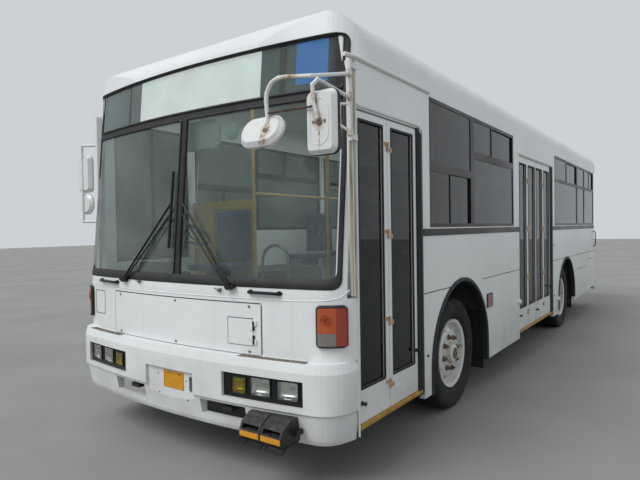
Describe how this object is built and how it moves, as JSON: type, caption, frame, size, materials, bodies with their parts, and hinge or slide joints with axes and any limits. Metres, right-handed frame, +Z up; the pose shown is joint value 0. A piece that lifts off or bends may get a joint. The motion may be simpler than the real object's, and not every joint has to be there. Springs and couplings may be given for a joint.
{
  "type": "airport passenger bus",
  "caption": "Airport ramp bus with steered front axle, twin rear wheels, folding front and middle doors, opening engine lid and front flap, and a hollow glazed cabin.",
  "frame": {"origin": "centre of the bounding box at ground level", "axes": "+X to the bus's left (door) side, -Y to its front, +Z up"},
  "size_m": [3.12, 9.6434, 2.99],
  "materials": {
    "body_white": "satin paint, worn",
    "frame_black": "chassis paint",
    "steel": "painted casting",
    "floor_grey": "matt mat",
    "black_trim": "weathered rubber",
    "black_metal": "satin",
    "window_glass": "tinted",
    "screen_glass": "clear",
    "sign_face": "printed sheet",
    "lamp_glass": "ribbed",
    "amber": "ribbed lens",
    "red_lens": "ribbed lens",
    "yellow_plate": "flat paint",
    "chock": "worn black paint with yellow bars",
    "tyre": "matt",
    "wheel_white": "dusty paint",
    "seat_cloth": "moquette",
    "rail": "powder coat",
    "mirror_white": "paint with rust at the clamps",
    "plastic_dark": "grained"
  },
  "bodies": {
    "body": {"underframe": "frame_black", "floor": "floor_grey", "side_wall_left": "body_white", "side_wall_right": "body_white", "roof": "body_white", "front_panel": "body_white", "front_cover": "body_white", "windscreen_frame": "black_trim", "windscreen_glass": "screen_glass", "sign_box": "sign_face", "front_bumper": "body_white", "lamp_panels": "black_metal", "headlamps": "lamp_glass", "turn_lamps": "amber", "number_plate": "yellow_plate", "chock_holder": "black_metal", "chocks": "chock", "rear_panel": "body_white", "rear_bumper": "body_white", "tail_lamps": "red_lens", "window_frames": "black_metal", "cabin_glass": "window_glass", "door_frames": "black_trim", "front_axle": "steel", "rear_axle": "steel", "air_springs": "black_trim", "engine": "steel", "tanks": "frame_black", "dashboard": "plastic_dark", "steering_wheel": "plastic_dark", "seats": "seat_cloth", "grab_rails": "rail", "mirrors_left": "mirror_white", "mirrors_right": "mirror_white", "wipers": "black_metal"},
    "front_flap": {"front_flap": "body_white"},
    "engine_lid": {"engine_lid": "body_white"},
    "front_door_post": {"front_leaf_post": "body_white", "front_glass_post": "window_glass"},
    "front_door_lead": {"front_leaf_lead": "body_white", "front_glass_lead": "window_glass"},
    "mid_door_1": {"mid_leaf_1": "body_white", "mid_glass_1": "window_glass"},
    "mid_door_2": {"mid_leaf_2": "body_white", "mid_glass_2": "window_glass"},
    "mid_door_3": {"mid_leaf_3": "body_white", "mid_glass_3": "window_glass"},
    "mid_door_4": {"mid_leaf_4": "body_white", "mid_glass_4": "window_glass"},
    "knuckle_left": {"knuckle_left": "steel"},
    "knuckle_right": {"knuckle_right": "steel"},
    "tie_rod": {"tie_rod": "steel"},
    "front_wheel_left": {"front_wheel_left": "wheel_white", "front_tyre_left": "tyre"},
    "front_wheel_right": {"front_wheel_right": "wheel_white", "front_tyre_right": "tyre"},
    "rear_wheel_left": {"rear_wheel_left": "wheel_white", "rear_tyres_left": "tyre"},
    "rear_wheel_right": {"rear_wheel_right": "wheel_white", "rear_tyres_right": "tyre"}
  },
  "joints": [
    {"name": "steer_left", "type": "hinge", "parent": "body", "child": "knuckle_left", "pos_m": [0.945, -2.499, 0.483], "axis": [0, 0, 1], "range_deg": [-38, 38]},
    {"name": "steer_right", "type": "hinge", "parent": "body", "child": "knuckle_right", "pos_m": [-0.945, -2.499, 0.483], "axis": [0, 0, 1], "range_deg": [-38, 38]},
    {"name": "tie_rod_turn", "type": "hinge", "parent": "knuckle_left", "child": "tie_rod", "pos_m": [0.945, -2.269, 0.362], "axis": [0, 0, 1], "range_deg": [-38, 38]},
    {"name": "front_wheel_left_spin", "type": "hinge", "parent": "knuckle_left", "child": "front_wheel_left", "pos_m": [1.137, -2.499, 0.483], "axis": [1, 0, 0], "continuous": true},
    {"name": "front_wheel_right_spin", "type": "hinge", "parent": "knuckle_right", "child": "front_wheel_right", "pos_m": [-1.137, -2.499, 0.483], "axis": [1, 0, 0], "continuous": true},
    {"name": "rear_wheel_left_spin", "type": "hinge", "parent": "body", "child": "rear_wheel_left", "pos_m": [1.137, 2.001, 0.483], "axis": [1, 0, 0], "continuous": true},
    {"name": "rear_wheel_right_spin", "type": "hinge", "parent": "body", "child": "rear_wheel_right", "pos_m": [-1.137, 2.001, 0.483], "axis": [1, 0, 0], "continuous": true},
    {"name": "front_door_turn", "type": "hinge", "parent": "body", "child": "front_door_post", "pos_m": [1.306, -3.417, 1.3], "axis": [0, 0, -1], "range_deg": [0, 85]},
    {"name": "front_door_fold", "type": "hinge", "parent": "front_door_post", "child": "front_door_lead", "pos_m": [1.351, -3.842, 1.3], "axis": [0, 0, 1], "range_deg": [0, 170]},
    {"name": "mid_door_front_turn", "type": "hinge", "parent": "body", "child": "mid_door_1", "pos_m": [1.306, -0.676, 1.3], "axis": [0, 0, 1], "range_deg": [0, 85]},
    {"name": "mid_door_front_fold", "type": "hinge", "parent": "mid_door_1", "child": "mid_door_2", "pos_m": [1.351, -0.301, 1.3], "axis": [0, 0, -1], "range_deg": [0, 170]},
    {"name": "mid_door_rear_turn", "type": "hinge", "parent": "body", "child": "mid_door_4", "pos_m": [1.306, 0.867, 1.3], "axis": [0, 0, -1], "range_deg": [0, 85]},
    {"name": "mid_door_rear_fold", "type": "hinge", "parent": "mid_door_4", "child": "mid_door_3", "pos_m": [1.351, 0.492, 1.3], "axis": [0, 0, 1], "range_deg": [0, 170]},
    {"name": "front_flap_hinge", "type": "hinge", "parent": "body", "child": "front_flap", "pos_m": [0.727, -4.50809, 0.9465], "axis": [0, 0, 1], "range_deg": [0, 100]},
    {"name": "engine_lid_hinge", "type": "hinge", "parent": "body", "child": "engine_lid", "pos_m": [0, 4.807, 1.336], "axis": [1, 0, 0], "range_deg": [0, 75]}
  ],
  "couplings": [
    {"joint": "steer_right", "follows": "steer_left", "ratio": 1},
    {"joint": "tie_rod_turn", "follows": "steer_left", "ratio": -1},
    {"joint": "front_door_fold", "follows": "front_door_turn", "ratio": 2},
    {"joint": "mid_door_front_fold", "follows": "mid_door_front_turn", "ratio": 2},
    {"joint": "mid_door_rear_fold", "follows": "mid_door_rear_turn", "ratio": 2}
  ]
}
